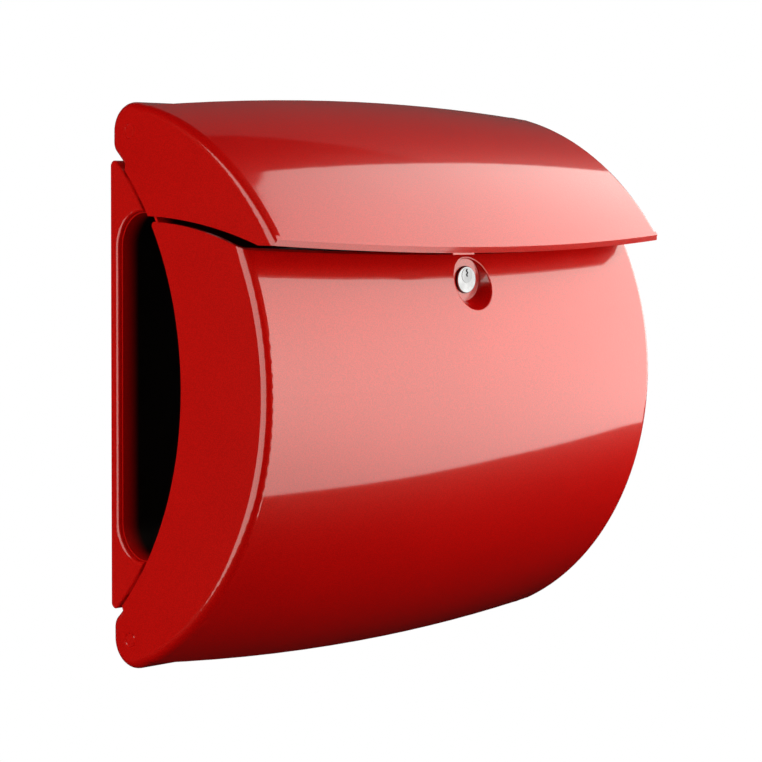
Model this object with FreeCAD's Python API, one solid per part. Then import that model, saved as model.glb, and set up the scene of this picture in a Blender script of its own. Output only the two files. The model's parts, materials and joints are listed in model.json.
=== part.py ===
import FreeCAD, Part
import math
import os
from FreeCAD import Vector

# Wall mailbox with a newspaper tube, in millimetres.
# X runs to the right seen from the street, the wall is the plane Y = 0 and the box stands
# out towards -Y, Z is up.  The origin is the middle of the four wall screws.
# Side-view outlines use depth (distance out from the wall) and height (Z).

# Overall size
width = 410.0
height = 400.0

# Hinge knuckles, one pair at the top for the flap and one at the bottom for the door
knuckle_radius = 20.5
knuckle_wall_gap = 0.5
pin_head_diameter = 10.0
pin_shank_diameter = 7.0
pin_head_chamfer = 0.5
pin_tail = 1.5

# Moulded shells
skin = 3.0
side_wall = 3.0
edge_round = 6.5
side_gap = 0.4
running_gap = 0.05
seat_gap = 0.05

# Front door
door_axis_depth = -49.5
door_axis_height = -0.7
door_bow = 10.0
door_skin_start = 41.0
door_top_drop = 84.0
door_top_radius = 290.0
door_top_axis_depth = 37.0
door_corner_round = 2.5
door_drum_start = -150.0
door_drum_end = -58.0

# Top flap
flap_axis_depth = -15.7
flap_axis_height = -22.5
flap_bow = 9.0
flap_skin_start = 38.0
flap_edge_drop = 80.0
flap_edge_radius = 420.0
flap_edge_axis_depth = 28.0
flap_drum_start = 62.0
flap_drum_end = 180.0
lip_drop = 99.5
lip_band = 4.2
lip_sag = 7.0
lip_wall = 3.0
lip_lean = 24.0
rim_width = 2.5
nib_length = 22.0
nib_height = 1.2
nib_thickness = 1.8
nib_setback = 0.6
nib_middle = -34.0

# Rear housing
crescent_depth = 76.0
crescent_end_drop = 32.3
housing_gap = 2.6
back_wall = 3.0
roof_wall = 2.5
corner_round = 4.0
heel_round = 10.0
crescent_bevel = 0.7
opening_rear = 8.5
opening_top_drop = 77.25
opening_corner = 25.0
opening_round = 2.5
ear_radius = 13.0
ear_width = 6.0
neck_rear = 17.0
neck_front = 30.0

# Wall screws
screw_spacing_x = 300.0
screw_spacing_z = 300.0
wall_hole_diameter = 6.0
wall_boss_diameter = 16.0
wall_boss_height = 2.0
driver_hole_diameter = 13.0

# Newspaper tube
tube_wall = 2.2
tube_step = 1.0
tube_clearance = 0.4
tube_front_offset = 2.0
tube_flange_top_drop = 59.0
tube_flange_inset = 14.0
tube_screw_xs = (-120.0, 0.0, 120.0)
tube_screw_height_drop = 67.0
tube_boss_length = 5.0

# Inlet frame behind the flap
frame_wall = 3.0
frame_arm_rise = 8.0
frame_bar_web = 3.5
frame_bar_top_drop = 102.0
frame_bar_height = 12.0
frame_foot_top_drop = 88.0
frame_foot_height = 28.0
frame_foot_width = 24.0
frame_foot_wall = 2.8
frame_screw_inset = 12.0
frame_screw_edge = 6.0

# Pan-head screws
pan_head_diameter = 7.5
pan_head_height = 2.4
pan_shank_diameter = 4.0
pan_shank_length = 10.0
pan_boss_diameter = 8.5
pan_boss_length = 7.0
head_round_share = 0.6
recess_width = 1.1
recess_span = 4.2
recess_depth = 1.3

# Cam lock
lock_drop = 126.5
lock_face_diameter = 19.3
lock_face_height = 1.5
lock_face_round = 0.5
lock_barrel_diameter = 18.4
lock_barrel_length = 28.0
lock_plug_diameter = 10.8
lock_plug_rise = 3.1
lock_plug_proud = 0.25
lock_gasket_thickness = 0.6
lock_gasket_overhang = 0.3
lock_seat_diameter = 30.6
lock_seat_sink = 1.4
lock_scoop_angle = 25.0
lock_rim_round = 1.2
lock_nut_across = 24.0
lock_nut_height = 4.0
cam_thickness = 2.0
cam_width = 13.0
cam_reach = 17.5
cam_gap = 0.8
cam_waist = 1.5
cam_square = 6.0
cam_screw_head_diameter = 8.0
cam_screw_head_height = 2.6
cam_screw_diameter = 4.0
cam_screw_length = 8.0
cam_thread_depth = 9.0
keyway_width = 1.6
keyway_depth = 6.0
keyway_steps = ((0.0, 4.7), (-0.9, 3.4), (0.5, 2.0), (-0.6, 0.6), (0.3, -0.9))

# Strike, retaining rings and buffers
strike_thickness = 2.0
strike_width = 46.0
strike_corner = 2.5
strike_screw_head_height = 1.8
strike_screw_spacing = 34.0
strike_screw_diameter = 3.5
strike_screw_head_diameter = 6.5
strike_screw_end = 2.0
retainer_diameter = 13.0
retainer_thickness = 1.2
buffer_diameter = 8.0
buffer_inset = 42.0
buffer_gap = 0.4
buffer_round = 1.0

# How far a cutter runs past a face, how near counts as on it, and sides of a cut sector
past = 1.0
touch = 0.01
sector_sides = 8

# Worked out from the values above
half_width = width / 2
inner_half = half_width - side_wall
inboard_half = inner_half - side_gap
pin_depth = knuckle_radius + knuckle_wall_gap
pin_height = height / 2 - knuckle_radius
door_reach = math.hypot(pin_depth - door_axis_depth, pin_height + door_axis_height)
door_radius = door_reach + knuckle_radius
flap_reach = math.hypot(pin_depth - flap_axis_depth, pin_height - flap_axis_height)
flap_radius = flap_reach + knuckle_radius
crescent_end = height / 2 - crescent_end_drop
crescent_radius = (crescent_depth ** 2 + crescent_end ** 2) / (2 * crescent_depth)
crescent_axis = crescent_depth - crescent_radius
housing_radius = crescent_radius - housing_gap
opening_half = height / 2 - opening_top_drop
tube_half = opening_half - tube_step / 2
tube_front_radius = crescent_radius + tube_front_offset
front_curve = tube_front_radius + tube_wall
frame_seat = front_curve + seat_gap
door_top = height / 2 - door_top_drop
flap_edge = height / 2 - flap_edge_drop
lip_height = height / 2 - lip_drop
lock_height = height / 2 - lock_drop
plug_height = lock_height + lock_plug_rise
cam_tip = cam_reach - cam_width / 2 + cam_waist
lip_slope = math.tan(math.radians(lip_lean))
lip_run = 2 * height
far = 4 * max(width, height)


def at(x, depth, z):
    """Point from its place across, out from the wall and up."""
    return Vector(x, -depth, z)


def slab(x0, x1, depth0, depth1, z0, z1):
    return Part.makeBox(x1 - x0, depth1 - depth0, z1 - z0, at(x0, depth1, z0))


def cross_cylinder(depth, z, radius, half, middle=0.0):
    """Cylinder lying across the box, along X."""
    return Part.makeCylinder(radius, 2 * half, at(middle - half, depth, z), Vector(1, 0, 0))


def out_cylinder(x, z, radius, depth0, depth1):
    """Cylinder pointing straight out from the wall."""
    return Part.makeCylinder(radius, depth1 - depth0, at(x, depth0, z), Vector(0, -1, 0))


def prism(points, x0, x1):
    """Side-view polygon of (depth, height) points, extruded from x0 to x1."""
    corners = [at(x0, depth, z) for depth, z in points]
    return Part.Face(Part.makePolygon(corners + corners[:1])).extrude(Vector(x1 - x0, 0, 0))


def fuse(shapes):
    joined = shapes[0].multiFuse(shapes[1:]) if len(shapes) > 1 else shapes[0]
    return joined.removeSplitter()


def both_sides(shape):
    return [shape, shape.mirror(Vector(0, 0, 0), Vector(1, 0, 0))]


def barrel(depth, z, radius, bow, half, rounding):
    """Barrel lying along X whose side swells by bow at the middle."""
    ends = [at(-half, depth, z), at(-half, depth + radius, z),
            at(half, depth + radius, z), at(half, depth, z)]
    if bow > 0:
        side = Part.Arc(ends[1], at(0, depth + radius + bow, z), ends[2]).toShape()
    else:
        side = Part.LineSegment(ends[1], ends[2]).toShape()
    outline = Part.Wire([Part.LineSegment(ends[0], ends[1]).toShape(), side,
                         Part.LineSegment(ends[2], ends[3]).toShape(),
                         Part.LineSegment(ends[3], ends[0]).toShape()])
    solid = Part.Face(outline).revolve(ends[0], Vector(1, 0, 0), 360)
    if rounding <= 0:
        return solid
    rims = [edge for edge in solid.Edges
            if abs(abs(edge.BoundBox.XMin) - half) < touch
            and abs(edge.BoundBox.XMin - edge.BoundBox.XMax) < touch
            and edge.Length > 2 * radius]
    return solid.makeFillet(rounding, rims)


def wedge(depth, z, start, end, reach, half):
    """Sector of directions seen from the side, as a prism."""
    points = [(depth, z)]
    for step in range(sector_sides + 1):
        turn = math.radians(start + (end - start) * step / sector_sides)
        points.append((depth + reach * math.cos(turn), z + reach * math.sin(turn)))
    return prism(points, -half, half)


def pin_holes(z):
    """Running holes through the end discs, with the small bevel round each pin head."""
    radius = pin_head_diameter / 2 + running_gap
    holes = [cross_cylinder(pin_depth, z, radius, half_width + past)]
    for side in (-1, 1):
        holes.append(Part.makeCone(radius + pin_head_chamfer, radius, pin_head_chamfer,
                                   at(side * half_width, pin_depth, z), Vector(-side, 0, 0)))
    return fuse(holes)


def front_half(z, axis_depth, axis_height):
    """Everything in front of the line through a hinge pin and its shell's axis."""
    reach = math.hypot(pin_depth - axis_depth, z - axis_height)
    along = ((pin_depth - axis_depth) / reach, (z - axis_height) / reach)
    out = (abs(along[1]), -along[0] * math.copysign(1, along[1]))
    near = (pin_depth + far * along[0], z + far * along[1])
    back = (pin_depth - far * along[0], z - far * along[1])
    points = [near, back, (back[0] + far * out[0], back[1] + far * out[1]),
              (near[0] + far * out[0], near[1] + far * out[1])]
    return prism(points, -half_width - past, half_width + past)


def swollen_shell(z, depth, height_of_axis, radius, bow, skin_start):
    """Bowed shell with side walls, its closing rim, and the straight strip at the hinge."""
    outer = barrel(depth, height_of_axis, radius, bow, half_width, edge_round)
    inner = barrel(depth, height_of_axis, radius - skin, bow, inner_half, edge_round - skin)
    core = cross_cylinder(depth, height_of_axis, radius - skin, inner_half)
    low, high = sorted((height_of_axis, math.copysign(far, z)))
    rim = slab(-inner_half, inner_half, skin_start, skin_start + rim_width, low, high)
    behind = slab(-half_width - past, half_width + past, -far, skin_start, -far, far)
    bowed = fuse([outer.cut(inner), outer.cut(core).common(rim)]).cut(behind)
    straight = barrel(depth, height_of_axis, radius, 0, half_width, edge_round).cut(core)
    return bowed, straight.common(behind).common(front_half(z, depth, height_of_axis))


def hinge_drum(z, start, end, front):
    """Hinge barrel behind its joining plane: a thin wall over part of the turn, and discs."""
    outer = barrel(pin_depth, z, knuckle_radius, 0, half_width, edge_round)
    bore = cross_cylinder(pin_depth, z, knuckle_radius - skin, inner_half)
    middle = cross_cylinder(pin_depth, z, 2 * knuckle_radius, inner_half)
    kept = wedge(pin_depth, z, start, end, 3 * knuckle_radius, inner_half)
    return outer.cut(bore).cut(middle.cut(kept)).cut(front)


def heel(z, front):
    """Corner of each side wall behind the joining plane, above or below its hinge disc."""
    rear = pin_depth - knuckle_radius
    low, high = sorted((z, 0.0))
    block = slab(-half_width, half_width, rear, pin_depth, low, high)
    block = block.cut(crescent_cut(crescent_radius))
    corner = [edge for edge in block.Edges
              if edge.BoundBox.XLength > width / 2 and abs(edge.BoundBox.YMin + rear) < touch
              and abs(edge.CenterOfMass.z) < abs(z) - past]
    block = block.makeFillet(heel_round, corner)
    sides = [edge for edge in block.Edges
             if edge.BoundBox.XLength < touch and abs(edge.BoundBox.YMax + rear) < touch]
    block = block.makeFillet(edge_round, sides)
    return block.cut(front).cut(slab(-inner_half, inner_half, -far, far, -far, far))


def crescent_cut(radius):
    return cross_cylinder(crescent_axis, 0, radius, half_width + past)


def door_surface(x, z, inset=0.0):
    """Depth of the door's bowed outer face, or of a face that lies inset behind it."""
    radius = door_radius - inset + door_bow * (1 - (x / half_width) ** 2)
    return door_axis_depth + math.sqrt(radius ** 2 - (z - door_axis_height) ** 2)


def flap_surface(x, z):
    """Depth of the flap's bowed outer face."""
    radius = flap_radius + flap_bow * (1 - (x / half_width) ** 2)
    return flap_axis_depth + math.sqrt(radius ** 2 - (z - flap_axis_height) ** 2)


lip_depth = flap_surface(half_width, lip_height + lip_band)
lip_bow = flap_surface(0, lip_height - lip_sag + lip_band) - lip_depth + lip_sag * lip_slope
lock_seat = door_surface(0, lock_height + lock_seat_diameter / 2) - lock_seat_sink
barrel_end = lock_seat - lock_barrel_length
strike_rear = barrel_end + cam_gap
bar_rear = strike_rear + strike_thickness
bar_front = bar_rear + frame_bar_web
bar_top = height / 2 - frame_bar_top_drop


def scoop(radius, depth):
    """Flared recess round the lock, opening outwards from a flat seat at this depth."""
    run = 3 * lock_seat_diameter
    mouth = radius + run * math.tan(math.radians(lock_scoop_angle))
    return Part.makeCone(radius, mouth, run, at(0, depth, lock_height), Vector(0, -1, 0))


def front_door():
    front = front_half(-pin_height, door_axis_depth, door_axis_height)
    shells = swollen_shell(-pin_height, door_axis_depth, door_axis_height, door_radius,
                           door_bow, door_skin_start)
    top = cross_cylinder(door_top_axis_depth, door_top - door_top_radius, door_top_radius,
                         half_width + past)
    crescent = crescent_cut(crescent_radius)
    pieces = [shell.common(top).cut(crescent) for shell in shells]
    pieces.append(hinge_drum(-pin_height, door_drum_start, door_drum_end, front))
    middle = barrel(door_axis_depth, door_axis_height, door_radius - skin / 2, door_bow,
                    inner_half, 0)
    pieces.append(scoop(lock_seat_diameter / 2 + skin, lock_seat - skin).common(middle))
    door = fuse(pieces + [heel(-pin_height, front)])
    corners = [edge for edge in door.Edges
               if abs(edge.BoundBox.XLength - side_wall) < touch and edge.BoundBox.ZMin > 0
               and abs(math.hypot(edge.CenterOfMass.y + crescent_axis, edge.CenterOfMass.z)
                       - crescent_radius) < touch]
    door = door.makeFillet(door_corner_round, corners)
    door = round_scoop_rim(door.cut(scoop(lock_seat_diameter / 2, lock_seat)))
    barrel_hole = out_cylinder(0, lock_height, lock_barrel_diameter / 2 + running_gap,
                               lock_seat - 2 * skin, lock_seat + past)
    return door.cut(barrel_hole).cut(pin_holes(-pin_height))


def round_scoop_rim(door):
    """Soften the edge where the lock recess runs out into the bowed face."""
    rim = [edge for edge in door.Edges
           if edge.BoundBox.XLength > lock_seat_diameter / 2
           and edge.BoundBox.XLength < 3 * lock_seat_diameter
           and -edge.BoundBox.YMin > lock_seat + past / 2
           and edge.BoundBox.ZMin > lock_height - 2 * lock_seat_diameter
           and edge.BoundBox.ZMax < lock_height + lock_seat_diameter]
    return door.makeFillet(lock_rim_round, rim)


def plan_arch(half, depth, swell):
    """Block whose front is bowed in plan and leans back going down, for the flap's lip."""
    front = Part.Arc(at(-half, depth, 0), at(0, depth + swell, 0), at(half, depth, 0)).toShape()
    sides = [Part.LineSegment(at(half, depth, 0), at(half, -far, 0)).toShape(),
             Part.LineSegment(at(half, -far, 0), at(-half, -far, 0)).toShape(),
             Part.LineSegment(at(-half, -far, 0), at(-half, depth, 0)).toShape()]
    block = Part.Face(Part.Wire([front] + sides)).extrude(Vector(0, -lip_slope, 1) * lip_run)
    block.translate(Vector(0, lip_slope * lip_run / 2, lip_height + lip_band - lip_run / 2))
    return block


def lip_arch(half, z, sag):
    """Block above the lip's lower edge, which sags at the middle of the flap."""
    edge = Part.Arc(at(-half, 0, z), at(0, 0, z - sag), at(half, 0, z)).toShape()
    sides = [Part.LineSegment(at(half, 0, z), at(half, 0, far)).toShape(),
             Part.LineSegment(at(half, 0, far), at(-half, 0, far)).toShape(),
             Part.LineSegment(at(-half, 0, far), at(-half, 0, z)).toShape()]
    return Part.Face(Part.Wire([edge] + sides)).extrude(Vector(0, -far, 0))


def flap_lip():
    """Wall that closes the front of the flap above its sagging lower edge."""
    outer = barrel(flap_axis_depth, flap_axis_height, flap_radius, flap_bow, half_width, 0)
    wall = plan_arch(half_width, lip_depth, lip_bow)
    wall = wall.cut(plan_arch(half_width, lip_depth - lip_wall, lip_bow))
    wall = wall.common(slab(-inner_half - past, inner_half + past, 0, far,
                            lip_height - 2 * lip_sag, lip_height + 3 * lip_band))
    return wall.common(outer)


def top_flap():
    front = front_half(pin_height, flap_axis_depth, flap_axis_height)
    shells = swollen_shell(pin_height, flap_axis_depth, flap_axis_height, flap_radius,
                           flap_bow, flap_skin_start)
    under = cross_cylinder(flap_edge_axis_depth, flap_edge - flap_edge_radius,
                           flap_edge_radius, half_width + past)
    under = under.cut(slab(-inner_half, inner_half, 0, far, -far, far))
    lip = lip_arch(half_width, lip_height, lip_sag)
    plan = plan_arch(half_width, lip_depth, lip_bow)
    pieces = [shell.cut(under).common(lip).common(plan).cut(crescent_cut(crescent_radius))
              for shell in shells]
    pieces += [flap_lip().common(lip), lip_nib(), heel(pin_height, front),
               hinge_drum(pin_height, flap_drum_start, flap_drum_end, front)]
    return fuse(pieces).cut(pin_holes(pin_height))


def lip_nib():
    """Small finger nib under the lip."""
    drop = 1 - (nib_middle / half_width) ** 2
    low = lip_height - lip_sag * drop
    front = lip_depth + lip_bow * drop - (lip_height + lip_band - low) * lip_slope - nib_setback
    return slab(nib_middle - nib_length / 2, nib_middle + nib_length / 2,
                front - nib_thickness, front, low - nib_height, low + nib_height)


def rounded_opening(half, rear, z, corner):
    """Tube cross-section, open to the front, with rounded rear corners."""
    block = slab(-half, half, rear, crescent_depth * 2, -z, z)
    edges = [edge for edge in block.Edges
             if edge.BoundBox.XLength > half and -edge.BoundBox.YMin < rear + touch]
    return block.makeFillet(corner, edges)


def housing_shell():
    lens = cross_cylinder(crescent_axis, 0, housing_radius, half_width)
    lens = lens.common(slab(-half_width, half_width, 0, far, -far, far))
    corners = [edge for edge in lens.Edges
               if edge.BoundBox.XLength > half_width and abs(edge.BoundBox.YMax) < touch
               and abs(edge.BoundBox.YMin) < touch]
    lens = lens.makeFillet(corner_round, corners)
    fronts = [edge for edge in lens.Edges
              if edge.BoundBox.XLength < touch and edge.BoundBox.ZLength > height / 2]
    fronts = [edge for edge in fronts if edge.BoundBox.YLength > touch]
    lens = lens.makeChamfer(crescent_bevel, fronts)
    room = cross_cylinder(crescent_axis, 0, housing_radius - roof_wall, inner_half)
    room = room.common(slab(-inner_half, inner_half, back_wall, far, -far, far))
    mouth = slab(-inner_half, inner_half, opening_rear, far,
                 -tube_half - tube_wall - tube_clearance, tube_half + tube_wall + tube_clearance)
    shell = lens.cut(room).cut(mouth)
    shell = shell.cut(rounded_opening(half_width + past, opening_rear, opening_half, opening_corner))
    lips = [edge for edge in shell.Edges
            if abs(abs(edge.BoundBox.XMin) - half_width) < touch and edge.BoundBox.XLength < touch
            and -edge.BoundBox.YMax > opening_rear - touch
            and edge.BoundBox.ZMax < opening_half + touch
            and edge.BoundBox.ZMin > -opening_half - touch]
    return shell.makeFillet(opening_round, lips)


def ear(sign):
    """Hinge ear and its neck, standing on the curved roof or floor of the housing."""
    z = sign * pin_height
    left = inboard_half - ear_width
    middle = (left + inboard_half) / 2
    eye = cross_cylinder(pin_depth, z, ear_radius, ear_width / 2, middle)
    low, high = sorted((z, sign * opening_half))
    neck = slab(left, inboard_half, neck_rear, neck_front, low, high)
    neck = neck.cut(cross_cylinder(crescent_axis, 0, housing_radius - roof_wall, half_width))
    return fuse([eye, neck])


def radial(x, z, radius, start, end, rod):
    """Cylinder square to the housing's curve, from one radius of the curve to another."""
    run = math.sqrt(radius ** 2 - z ** 2)
    direction = Vector(0, -run, z) / radius
    foot = Vector(x, -crescent_axis, 0) + direction * start
    return Part.makeCylinder(rod, end - start, foot, direction)


def tube_screw_places():
    z = height / 2 - tube_screw_height_drop
    return [(x, sign * z) for sign in (-1, 1) for x in tube_screw_xs]


def rear_housing():
    pieces = [housing_shell()]
    for sign in (-1, 1):
        pieces += both_sides(ear(sign))
    for x in (-screw_spacing_x / 2, screw_spacing_x / 2):
        for z in (-screw_spacing_z / 2, screw_spacing_z / 2):
            pieces.append(out_cylinder(x, z, wall_boss_diameter / 2, back_wall - past,
                                       back_wall + wall_boss_height))
    inside = housing_radius - roof_wall
    for x, z in tube_screw_places():
        pieces.append(radial(x, z, housing_radius, inside - pan_boss_length, inside + past,
                             pan_boss_diameter / 2))
    housing = fuse(pieces)
    for x in (-screw_spacing_x / 2, screw_spacing_x / 2):
        for z in (-screw_spacing_z / 2, screw_spacing_z / 2):
            housing = housing.cut(out_cylinder(x, z, wall_hole_diameter / 2, -past, far))
            housing = housing.cut(out_cylinder(x, z, driver_hole_diameter / 2,
                                               back_wall + wall_boss_height, far))
    for x, z in tube_screw_places():
        housing = housing.cut(radial(x, z, housing_radius, inside - pan_boss_length - past,
                                     housing_radius + past, pan_shank_diameter / 2 + seat_gap))
    for sign in (-1, 1):
        housing = housing.cut(cross_cylinder(pin_depth, sign * pin_height,
                                             pin_shank_diameter / 2 + seat_gap, half_width))
    return housing


def tube_flange(sign):
    """Curved flange that lies on the housing's roof or floor and takes the tube screws."""
    reach = inboard_half - tube_flange_inset
    ring = cross_cylinder(crescent_axis, 0, crescent_radius, reach)
    ring = ring.cut(cross_cylinder(crescent_axis, 0, housing_radius + seat_gap, reach + past))
    low, high = sorted((sign * opening_half, sign * (height / 2 - tube_flange_top_drop)))
    return ring.common(slab(-reach, reach, 0, far, low, high))


def newspaper_tube():
    outer = rounded_opening(inboard_half, opening_rear + tube_step - tube_wall,
                            tube_half + tube_wall, opening_corner + tube_wall)
    outer = outer.common(cross_cylinder(crescent_axis, 0, tube_front_radius + tube_wall,
                                        inboard_half))
    inner = rounded_opening(half_width, opening_rear + tube_step, tube_half, opening_corner)
    inner = inner.common(cross_cylinder(crescent_axis, 0, tube_front_radius, half_width))
    bosses = [radial(x, z, front_curve, front_curve - tube_boss_length, front_curve - past,
                     pan_boss_diameter / 2) for x, z in frame_screw_places()]
    tube = fuse([outer.cut(inner), tube_flange(-1), tube_flange(1)] + bosses)
    for x, z in tube_screw_places():
        tube = tube.cut(radial(x, z, housing_radius, housing_radius - past, crescent_radius + past,
                               pan_shank_diameter / 2 + seat_gap))
    for x, z in frame_screw_places():
        tube = tube.cut(radial(x, z, front_curve, front_curve - 2 * pan_shank_length, front_curve + past,
                               pan_shank_diameter / 2 + seat_gap))
    return tube


def frame_screw_places():
    top = height / 2 - frame_foot_top_drop
    heights = (top - frame_screw_edge, top - frame_foot_height + frame_screw_edge)
    x = inboard_half - frame_screw_inset
    return [(side * x, z) for side in (-1, 1) for z in heights]


def inlet_frame():
    """Frame behind the mouth: a foot and an arm at each side, and the bar the lock holds."""
    foot_top = height / 2 - frame_foot_top_drop
    foot_low = foot_top - frame_foot_height
    ring = cross_cylinder(crescent_axis, 0, frame_seat + frame_foot_wall, half_width)
    gap = cross_cylinder(crescent_axis, 0, frame_seat, half_width + past)
    foot = ring.cut(gap).common(slab(inboard_half - frame_foot_width, inboard_half, 0, far,
                                     foot_low, foot_top))
    arm = prism([(pin_depth, foot_low), (bar_front, bar_top - frame_bar_height),
                 (bar_front, bar_top), (pin_depth, foot_top + frame_arm_rise)],
                inboard_half - frame_wall, inboard_half).cut(gap)
    arm = arm.common(slab(0, half_width, 0, far, foot_low, foot_top))
    web = slab(-inboard_half, inboard_half, bar_rear, bar_front,
               bar_top - frame_bar_height, bar_top)
    frame = fuse([web] + both_sides(foot) + both_sides(arm))
    for x, z in frame_screw_places():
        frame = frame.cut(radial(x, z, front_curve, front_curve, frame_seat + frame_foot_wall + past,
                                 pan_shank_diameter / 2 + seat_gap))
    for x, z in strike_screw_places():
        frame = frame.cut(out_cylinder(x, z, strike_screw_diameter / 2 + seat_gap,
                                       strike_rear, bar_front + past))
    return frame


def cross_recess(top, direction):
    """Cross slots cut into a screw head."""
    side = Vector(1, 0, 0)
    up = direction.cross(side)
    turned = FreeCAD.Matrix(side.x, up.x, direction.x, top.x, side.y, up.y, direction.y, top.y,
                            side.z, up.z, direction.z, top.z, 0, 0, 0, 1)
    slots = []
    for long, short in ((recess_span, recess_width), (recess_width, recess_span)):
        slots.append(Part.makeBox(long, short, 2 * recess_depth,
                                  Vector(-long / 2, -short / 2, -recess_depth)))
    return fuse(slots).transformGeometry(turned)


def screw(foot, direction, head_diameter, head_height, shank_diameter, shank_length):
    """Screw whose head sits on foot and rises along direction."""
    head = Part.makeCylinder(head_diameter / 2, head_height, foot, direction)
    top = foot + direction * head_height
    rim = [edge for edge in head.Edges
           if edge.Closed and (edge.CenterOfMass - top).Length < touch]
    head = head.makeFillet(head_height * head_round_share, rim)
    shank = Part.makeCylinder(shank_diameter / 2, shank_length, foot, direction * -1)
    return fuse([head, shank]).cut(cross_recess(top, direction))


def curve_screws(places, curve, seat):
    """Pan-head screws square to the housing's curve, their heads seated at one radius."""
    solids = []
    for x, z in places:
        direction = Vector(0, -math.sqrt(curve ** 2 - z ** 2), z) / curve
        foot = Vector(x, -crescent_axis, 0) + direction * seat
        solids.append(screw(foot, direction, pan_head_diameter, pan_head_height,
                            pan_shank_diameter, pan_shank_length))
    return solids


def strike_screw_places():
    z = bar_top - frame_bar_height / 2
    return [(-strike_screw_spacing / 2, z), (strike_screw_spacing / 2, z)]


def strike_plate():
    plate = slab(-strike_width / 2, strike_width / 2, strike_rear, bar_rear,
                 bar_top - frame_bar_height, bar_top)
    corners = [edge for edge in plate.Edges if edge.BoundBox.YLength > strike_thickness / 2
               and edge.BoundBox.ZLength < touch and edge.BoundBox.XLength < touch]
    plate = plate.makeFillet(strike_corner, corners)
    for x, z in strike_screw_places():
        plate = plate.cut(out_cylinder(x, z, strike_screw_diameter / 2 + seat_gap,
                                       strike_rear - past, bar_rear + past))
    return plate


def strike_screws():
    return [screw(at(x, strike_rear, z), Vector(0, 1, 0), strike_screw_head_diameter,
                  strike_screw_head_height, strike_screw_diameter,
                  strike_thickness + frame_bar_web + strike_screw_end)
            for x, z in strike_screw_places()]


def hinge_pin(side, sign):
    """Headed pin: the head turns in the shell's disc, the shank is held in the ear."""
    face = at(side * half_width, pin_depth, sign * pin_height)
    inward = Vector(-side, 0, 0)
    head_length = side_wall + side_gap
    head = Part.makeCylinder(pin_head_diameter / 2, head_length, face, inward)
    rim = [edge for edge in head.Edges
           if edge.Closed and abs(edge.CenterOfMass.x - face.x) < touch]
    head = head.makeChamfer(pin_head_chamfer, rim)
    shank = Part.makeCylinder(pin_shank_diameter / 2,
                              head_length + ear_width + retainer_thickness + pin_tail,
                              face, inward)
    return fuse([head, shank])


def pin_retainers():
    """Push-on rings on the inner ends of the hinge pins."""
    rings = []
    left = inboard_half - ear_width - retainer_thickness / 2
    for side in (-1, 1):
        for sign in (-1, 1):
            ring = cross_cylinder(pin_depth, sign * pin_height, retainer_diameter / 2,
                                  retainer_thickness / 2, side * left)
            rings.append(ring.cut(cross_cylinder(pin_depth, sign * pin_height,
                                                 pin_shank_diameter / 2 + seat_gap, half_width)))
    return rings


def lock_body():
    face_seat = lock_seat + lock_gasket_thickness
    face = out_cylinder(0, lock_height, lock_face_diameter / 2, face_seat,
                        face_seat + lock_face_height)
    front = -(face_seat + lock_face_height)
    rim = [edge for edge in face.Edges
           if edge.Closed and abs(edge.CenterOfMass.y - front) < touch]
    face = face.makeFillet(lock_face_round, rim)
    barrel_body = out_cylinder(0, lock_height, lock_barrel_diameter / 2, barrel_end, face_seat)
    bore = out_cylinder(0, plug_height, lock_plug_diameter / 2 + running_gap, 0, far)
    return fuse([face, barrel_body]).cut(bore)


def keyway():
    """Stepped keyway, cut into the plug from its top edge."""
    front = lock_seat + lock_gasket_thickness + lock_face_height + lock_plug_proud
    outline = [(x - keyway_width / 2, z) for x, z in keyway_steps]
    outline += [(x + keyway_width / 2, z) for x, z in reversed(keyway_steps)]
    corners = [at(x, front - keyway_depth, plug_height + z) for x, z in outline]
    return Part.Face(Part.makePolygon(corners + corners[:1])).extrude(
        Vector(0, -2 * keyway_depth, 0))


def lock_plug():
    front = lock_seat + lock_gasket_thickness + lock_face_height + lock_plug_proud
    plug = out_cylinder(0, plug_height, lock_plug_diameter / 2, barrel_end, front)
    stem_length = cam_thickness + seat_gap
    stem = Part.makeBox(cam_square, stem_length, cam_square,
                        at(-cam_square / 2, barrel_end, plug_height - cam_square / 2))
    thread = out_cylinder(0, plug_height, cam_screw_diameter / 2 + seat_gap,
                          barrel_end - stem_length - past,
                          barrel_end - cam_thickness + cam_thread_depth)
    return fuse([plug, stem]).cut(keyway()).cut(thread)


def lock_cam():
    """Cam lying sideways at rest, which leaves the door free."""
    front = barrel_end - seat_gap
    rear = front - cam_thickness + seat_gap
    eye = out_cylinder(0, plug_height, cam_width / 2, rear, front)
    arm_half = cam_width / 2 - cam_waist
    arm = slab(0, cam_tip, rear, front, plug_height - arm_half, plug_height + arm_half)
    tip = out_cylinder(cam_tip, plug_height, arm_half, rear, front)
    hole_half = cam_square / 2 + seat_gap
    hole = slab(-hole_half, hole_half, rear - past, front + past,
                plug_height - hole_half, plug_height + hole_half)
    return fuse([eye, arm, tip]).cut(hole)


def lock_cam_screw():
    seat = barrel_end - cam_thickness - seat_gap
    return screw(at(0, seat, plug_height), Vector(0, 1, 0), cam_screw_head_diameter,
                 cam_screw_head_height, cam_screw_diameter, cam_screw_length)


def lock_nut():
    """Hexagon nut that pulls the lock against its seat from inside the door."""
    back = lock_seat - skin - seat_gap
    radius = lock_nut_across / math.sqrt(3)
    corners = [at(radius * math.cos(math.radians(60 * step)), back,
                  lock_height + radius * math.sin(math.radians(60 * step)))
               for step in range(6)]
    body = Part.Face(Part.makePolygon(corners + corners[:1])).extrude(
        Vector(0, lock_nut_height, 0))
    hole = out_cylinder(0, lock_height, lock_barrel_diameter / 2 + running_gap, 0, far)
    return body.cut(hole)


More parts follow.
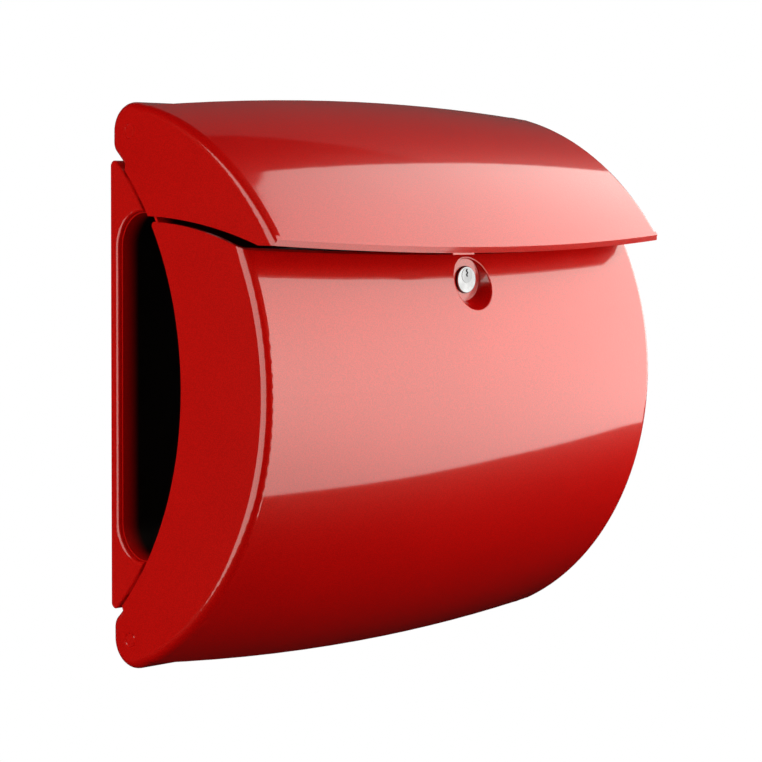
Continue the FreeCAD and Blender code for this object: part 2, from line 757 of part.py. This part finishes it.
def lock_gasket():
    ring = out_cylinder(0, lock_height, lock_face_diameter / 2 + lock_gasket_overhang, lock_seat,
                        lock_seat + lock_gasket_thickness)
    return ring.cut(out_cylinder(0, lock_height, lock_barrel_diameter / 2 + running_gap, 0, far))


def door_buffers():
    """Rubber studs on the bar, just behind the closed door."""
    z = bar_top - frame_bar_height / 2
    studs = []
    for x in (-inboard_half + buffer_inset, inboard_half - buffer_inset):
        front = door_surface(x, z + buffer_diameter / 2, skin) - buffer_gap
        stud = out_cylinder(x, z, buffer_diameter / 2, bar_front, front)
        rim = [edge for edge in stud.Edges
               if edge.Closed and abs(edge.CenterOfMass.y + front) < touch]
        studs.append(stud.makeFillet(buffer_round, rim))
    return studs


def save(name, solids):
    shape = solids[0] if len(solids) == 1 else Part.makeCompound(solids)
    shape.exportStep("parts/" + name + ".step")
    volume = sum(solid.Volume for solid in solids)
    print(name, len(shape.Solids), round(volume, 1), shape.isValid())


def main():
    os.makedirs("parts", exist_ok=True)
    save("rear_housing", [rear_housing()])
    save("newspaper_tube", [newspaper_tube()])
    save("inlet_frame", [inlet_frame()])
    save("front_door", [front_door()])
    save("top_flap", [top_flap()])
    for sign, level in ((1, "top"), (-1, "bottom")):
        for side, hand in ((-1, "left"), (1, "right")):
            save("hinge_pin_" + level + "_" + hand, [hinge_pin(side, sign)])
    save("pin_retainers", pin_retainers())
    save("tube_screws", curve_screws(tube_screw_places(), housing_radius, crescent_radius))
    save("frame_screws", curve_screws(frame_screw_places(), front_curve,
                                      frame_seat + frame_foot_wall))
    save("strike_plate", [strike_plate()])
    save("strike_screws", strike_screws())
    save("lock_body", [lock_body()])
    save("lock_plug", [lock_plug()])
    save("lock_cam", [lock_cam()])
    save("lock_cam_screw", [lock_cam_screw()])
    save("lock_nut", [lock_nut()])
    save("lock_gasket", [lock_gasket()])
    save("door_buffers", door_buffers())


main()
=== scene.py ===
import json
import math
import bpy
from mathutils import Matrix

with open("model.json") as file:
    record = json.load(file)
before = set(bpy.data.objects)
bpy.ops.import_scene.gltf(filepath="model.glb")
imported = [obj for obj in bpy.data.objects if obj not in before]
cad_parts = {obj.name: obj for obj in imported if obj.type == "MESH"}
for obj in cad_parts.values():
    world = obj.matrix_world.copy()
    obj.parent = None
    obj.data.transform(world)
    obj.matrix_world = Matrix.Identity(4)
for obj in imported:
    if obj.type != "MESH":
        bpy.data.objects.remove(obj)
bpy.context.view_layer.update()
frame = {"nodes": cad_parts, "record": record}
print("frame loaded:", len(frame["nodes"]), "nodes")


class Wire:                    # a node's output that can be used in sums
    def __init__(self, finish, socket):
        self.finish = finish
        self.socket = socket

    def sum(self, operation, first, second):
        return self.finish.add("ShaderNodeMath", {"operation": operation}, {0: first, 1: second})

    def __add__(self, other):
        return self.sum("ADD", self, other)

    def __sub__(self, other):
        return self.sum("SUBTRACT", self, other)

    def __mul__(self, other):
        return self.sum("MULTIPLY", self, other)

    def __rsub__(self, other):
        return self.sum("SUBTRACT", other, self)

    __radd__ = __add__
    __rmul__ = __mul__

    def __abs__(self):
        return self.finish.add("ShaderNodeMath", {"operation": "ABSOLUTE"}, {0: self})


class Finish:                  # the nodes of one material, or of the world
    def __init__(self, owner):
        self.owner = owner
        self.owner.use_nodes = True
        self.tree = self.owner.node_tree
        self.tree.nodes.clear()

    def add(self, kind, settings=None, sockets=None, output=0):
        node = self.tree.nodes.new(kind)
        for key, value in (settings or {}).items():
            setattr(node, key, value)
        for key, value in (sockets or {}).items():
            if isinstance(value, Wire):
                self.tree.links.new(value.socket, node.inputs[key])
            else:
                node.inputs[key].default_value = value
        return Wire(self, node.outputs[output] if node.outputs else None)

    def place(self):           # output 3 is the object's own coordinates
        return self.add("ShaderNodeTexCoord", output=3)

    def along(self, axis):     # 0 across the box, 2 up
        return self.add("ShaderNodeSeparateXYZ", {}, {"Vector": self.place()}, output=axis)

    def noise(self, perMetre, detail):
        return self.add("ShaderNodeTexNoise", {}, {
            "Vector": self.place(), "Scale": perMetre, "Detail": detail})

    def between(self, value, low, high):
        return self.add("ShaderNodeMapRange", {"interpolation_type": "SMOOTHSTEP"}, {
            "Value": value, "From Min": low, "From Max": high})

    def blend(self, factor, first, second):    # sockets 6 and 7 and output 2 hold colours
        sockets = {0: factor, 6: first, 7: second}
        return self.add("ShaderNodeMix", {"data_type": "RGBA"}, sockets, output=2)

    def bump(self, height, depth):
        return self.add("ShaderNodeBump", {}, {"Height": height, "Distance": depth})

    def surface(self, sockets):
        shader = self.add("ShaderNodeBsdfPrincipled", {}, sockets)
        self.add("ShaderNodeOutputMaterial", {}, {"Surface": shader})
        return self.owner

    def glow(self, colour, strength):
        shader = self.add("ShaderNodeEmission", {}, {"Color": colour, "Strength": strength})
        self.add("ShaderNodeOutputMaterial", {}, {"Surface": shader})
        return self.owner


redPaint = {
    "deep": (0.65, 0.0004, 0.0006, 1),
    "bright": (0.84, 0.0030, 0.0020, 1),
    "flecksPerMetre": 1250.0,
    "fleckSpread": (0.42, 0.58),
    "fleckShare": 0.75,        # the clouds make the rest of the colour change
    "cloudsPerMetre": 9.0,
    "cloudSpread": (0.3, 0.7),
    "sheen": (1.0, 0.56, 0.36, 1),
    "sheenStrength": 0.34,
    "baseRoughness": 0.31,
    "fleckRoughness": 0.06,
    "coatRoughness": 0.065,
    "coatIndex": 1.8,          # how strongly the clear coat bends light
    "peelPerMetre": 520.0,
    "peelDepth": 0.00005,      # metres
}


def pearlPaint(name, rougher=1.0, coat=1.0):
    finish = Finish(bpy.data.materials.new(name))
    grain = finish.noise(redPaint["flecksPerMetre"], detail=1.0)
    flecks = finish.between(grain, *redPaint["fleckSpread"])
    drift = finish.noise(redPaint["cloudsPerMetre"], detail=3.0)
    clouds = finish.between(drift, *redPaint["cloudSpread"])
    share = flecks * redPaint["fleckShare"] + clouds * (1 - redPaint["fleckShare"])
    peel = finish.noise(redPaint["peelPerMetre"], detail=1.0)
    return finish, {
        "Base Color": finish.blend(share, redPaint["deep"], redPaint["bright"]),
        "Roughness": redPaint["baseRoughness"] * rougher + flecks * redPaint["fleckRoughness"],
        "Coat Weight": coat,
        "Coat Roughness": redPaint["coatRoughness"],
        "Coat IOR": redPaint["coatIndex"],
        "Specular IOR Level": redPaint["sheenStrength"],
        "Specular Tint": redPaint["sheen"],
        "Normal": finish.bump(peel, redPaint["peelDepth"]),
    }


def shellRed():                # flap and door
    finish, sockets = pearlPaint("shellRed")
    return finish.surface(sockets)


def housingRed():
    finish, sockets = pearlPaint("housingRed", rougher=1.1)
    return finish.surface(sockets)


def pinRed():
    finish, sockets = pearlPaint("pinRed", rougher=1.05)
    return finish.surface(sockets)


# Painted shade in the newspaper tube: its red fades to near black between these distances from
# the middle, standing in for the unlit interior.
tubeShadeFade = {
    "start": 0.186,            # metres from the middle, where the red begins to show
    "end": 0.2005,
    # painted shade: the near black of the tube's unlit interior
    "black": (0.0012, 0.0008, 0.0008, 1),
}


def tubeRed():                 # red at its mouths, with painted shade turning it black further in
    finish, sockets = pearlPaint("tubeRed", rougher=1.2, coat=0.0)
    # painted shade: the colour darkens towards the middle of the tube, away from both mouths
    paintedShade = 1 - finish.between(abs(finish.along(0)), tubeShadeFade["start"], tubeShadeFade["end"])
    sockets["Base Color"] = finish.blend(paintedShade, sockets["Base Color"], tubeShadeFade["black"])
    return finish.surface(sockets)


def shaded(colour, share):     # the same colour, lighter or darker
    return tuple(channel * share for channel in colour[:3]) + (1,)


blackGrain = {
    "perMetre": 2600.0,
    "depth": 0.00004,          # metres
    "roughness": 0.12,
    "wearPerMetre": 35.0,
    "wearSpread": (0.3, 0.7),
    "wornShade": 1.7,
}


def mouldedBlack(name, colour, roughness):
    finish = Finish(bpy.data.materials.new(name))
    grain = finish.noise(blackGrain["perMetre"], detail=2.0)
    rubbed = finish.noise(blackGrain["wearPerMetre"], detail=4.0)
    wear = finish.between(rubbed, *blackGrain["wearSpread"])
    return finish.surface({
        "Base Color": finish.blend(wear, colour, shaded(colour, blackGrain["wornShade"])),
        "Roughness": roughness + grain * blackGrain["roughness"],
        "Normal": finish.bump(grain, blackGrain["depth"])})


steelGrain = {
    "perMetre": 900.0,
    "depth": 0.000006,         # metres
    "roughness": 0.08,
    "tarnishPerMetre": 120.0,
    "tarnishSpread": (0.3, 0.7),
    "dullShade": 0.8,
}


def steel(name, colour, roughness):
    finish = Finish(bpy.data.materials.new(name))
    grain = finish.noise(steelGrain["perMetre"], detail=3.0)
    patches = finish.noise(steelGrain["tarnishPerMetre"], detail=3.0)
    tarnish = finish.between(patches, *steelGrain["tarnishSpread"])
    return finish.surface({
        "Base Color": finish.blend(tarnish, colour, shaded(colour, steelGrain["dullShade"])),
        "Metallic": 1.0,
        "Roughness": roughness + grain * steelGrain["roughness"],
        "Normal": finish.bump(grain, steelGrain["depth"])})


finishes = {                   # by the slot that each part names
    "shell_red": shellRed(),
    "housing_red": housingRed(),
    "tube_red": tubeRed(),
    "pin_red": pinRed(),
    "frame_black": mouldedBlack("frameBlack", colour=(0.012, 0.012, 0.013, 1), roughness=0.42),
    "black_rubber": mouldedBlack("blackRubber", colour=(0.010, 0.010, 0.010, 1), roughness=0.6),
    "zinc_steel": steel("zincSteel", colour=(0.62, 0.63, 0.66, 1), roughness=0.28),
    "lock_chrome": steel("lockChrome", colour=(0.36, 0.365, 0.38, 1), roughness=0.16),
    "lock_nickel": steel("lockNickel", colour=(0.31, 0.315, 0.33, 1), roughness=0.2),
}

for piece in frame["record"]["subparts"]:
    mesh = frame["nodes"][piece["node"]].data
    mesh.materials.clear()
    mesh.materials.append(finishes[piece["material_slot"]])
print("finishes on:", len(finishes))


studio = {
    "backdrop": (1, 1, 1, 1),  # behind and under the box
    "lamp": (1.0, 0.985, 0.93, 1),             # the light panels' colour
    "ambient": (0.004, 0.004, 0.004, 1),       # what reaches the box from beside the panels
    "floorDrop": 1.35,         # metres from the middle of the wall screws down to the floor
    "floorSpread": 14.0,       # metres
    "softFoot": (-1.1, 0.3),   # heights between which a fading panel reaches its full glow
    "footShare": 0.5,          # its share of the full glow below them
}

# Corners are in metres, going round the panel. glow is at the height of the wall screws, before
# the soft foot, and fade is what it loses per metre up: a panel with no fade glows evenly. Gloss
# shows a panel that shines, and one that doesn't only lights.
lightPanels = {
    "frontBox": {
        "corners": [(0.635, -2.402, -2.431), (0.848, -1.243, -1.038), (0.904, -1.004, -0.799),
                    (0.950, -0.783, -0.555), (1.008, -0.540, -0.320), (1.285, 0.253, 0.074),
                    (0.821, -0.032, 1.484), (0.734, -0.241, 1.442), (0.668, -0.431, 1.342),
                    (0.602, -0.659, 1.171), (0.101, -2.152, 0.341)],
        "glow": 2.75, "fade": 0.85, "shines": True},
    "leftBox": {
        "corners": [(-1.30, -0.66, -0.75), (-1.30, 0.60, -0.75), (-1.30, 0.60, 0.95),
                    (-1.30, -0.66, 0.95)],
        "glow": 1.7, "fade": 0.0, "shines": True},
    "backWash": {
        "corners": [(1.50, 0.30, 0.10), (0.20, 1.50, 0.10), (0.20, 1.40, 1.60),
                    (1.50, 0.20, 1.60)],
        "glow": 0.08, "fade": 0.0, "shines": True},
    "streetFill": {
        "corners": [(-0.9, -1.5, 0.9), (0.9, -1.5, 0.9), (0.9, -0.3, 1.8), (-0.9, -0.3, 1.8)],
        "glow": 0.7, "fade": 0.0, "shines": False},
    "rearFill": {
        "corners": [(-1.0, 2.2, -0.9), (1.0, 2.2, -0.9), (1.0, 2.0, 1.2), (-1.0, 2.0, 1.2)],
        "glow": 1.3, "fade": 0.0, "shines": False},
}


def fadingGlow(finish, glow, fade):
    height = finish.along(2)
    foot = finish.between(height, *studio["softFoot"])
    return (glow - height * fade) * (studio["footShare"] + foot * (1 - studio["footShare"]))


def lightPanel(name, corners, glow, fade, shines):
    finish = Finish(bpy.data.materials.new(name + "Glow"))
    strength = fadingGlow(finish, glow, fade) if fade else glow
    mesh = bpy.data.meshes.new(name)
    mesh.from_pydata(corners, [], [tuple(range(len(corners)))])
    mesh.materials.append(finish.glow(studio["lamp"], strength))
    panel = bpy.data.objects.new(name, mesh)
    bpy.context.scene.collection.objects.link(panel)
    panel.visible_camera = False
    panel.visible_glossy = shines


def floorPlane():              # plain white: it neither lights the box nor shows in it
    bpy.ops.object.select_all(action="DESELECT")
    bpy.ops.mesh.primitive_plane_add(size=studio["floorSpread"],
                                     location=(0, 0, -studio["floorDrop"]))
    floor = bpy.context.object
    floor.name = "studioFloor"
    white = Finish(bpy.data.materials.new("studioWhite"))
    floor.data.materials.append(white.glow(studio["backdrop"], strength=1.0))
    floor.visible_diffuse = False
    floor.visible_glossy = False
    floor.visible_shadow = False


def studioWorld():             # white behind the box, nearly dark for its reflections
    sky = Finish(bpy.data.worlds.new("studioWorld"))
    seen = sky.add("ShaderNodeLightPath")      # output 0 tells what the camera sees directly
    dark = sky.add("ShaderNodeBackground", {}, {"Color": studio["ambient"]})
    white = sky.add("ShaderNodeBackground", {}, {"Color": studio["backdrop"]})
    both = sky.add("ShaderNodeMixShader", {}, {0: seen, 1: dark, 2: white})
    sky.add("ShaderNodeOutputWorld", {}, {"Surface": both})
    bpy.context.scene.world = sky.owner


for panelName, panelFacts in lightPanels.items():
    lightPanel(panelName, **panelFacts)
floorPlane()
studioWorld()
print("studio ready:", len(lightPanels), "light panels")


camera = {
    "place": (-1.2799, -1.3234, 0.1243),
    "turn": 45.55,             # degrees to the right of straight ahead
    "tip": 1.2,                # degrees below level
    "lens": 112.85,            # mm, on a 36 mm sensor
    "sensor": 36.0,
    "shift": -0.1593,
    "near": 0.05,              # metres
    "far": 50.0,
}


def setCamera():
    data = bpy.data.cameras.new("camera")
    data.sensor_width = camera["sensor"]
    data.lens = camera["lens"]
    data.shift_y = camera["shift"]
    data.clip_start = camera["near"]
    data.clip_end = camera["far"]
    eye = bpy.data.objects.new("camera", data)
    bpy.context.scene.collection.objects.link(eye)
    eye.location = camera["place"]
    eye.rotation_euler = (math.radians(90 - camera["tip"]), 0, -math.radians(camera["turn"]))
    bpy.context.scene.camera = eye


setCamera()
bpy.context.scene.view_settings.view_transform = "Standard"
print("camera ready")
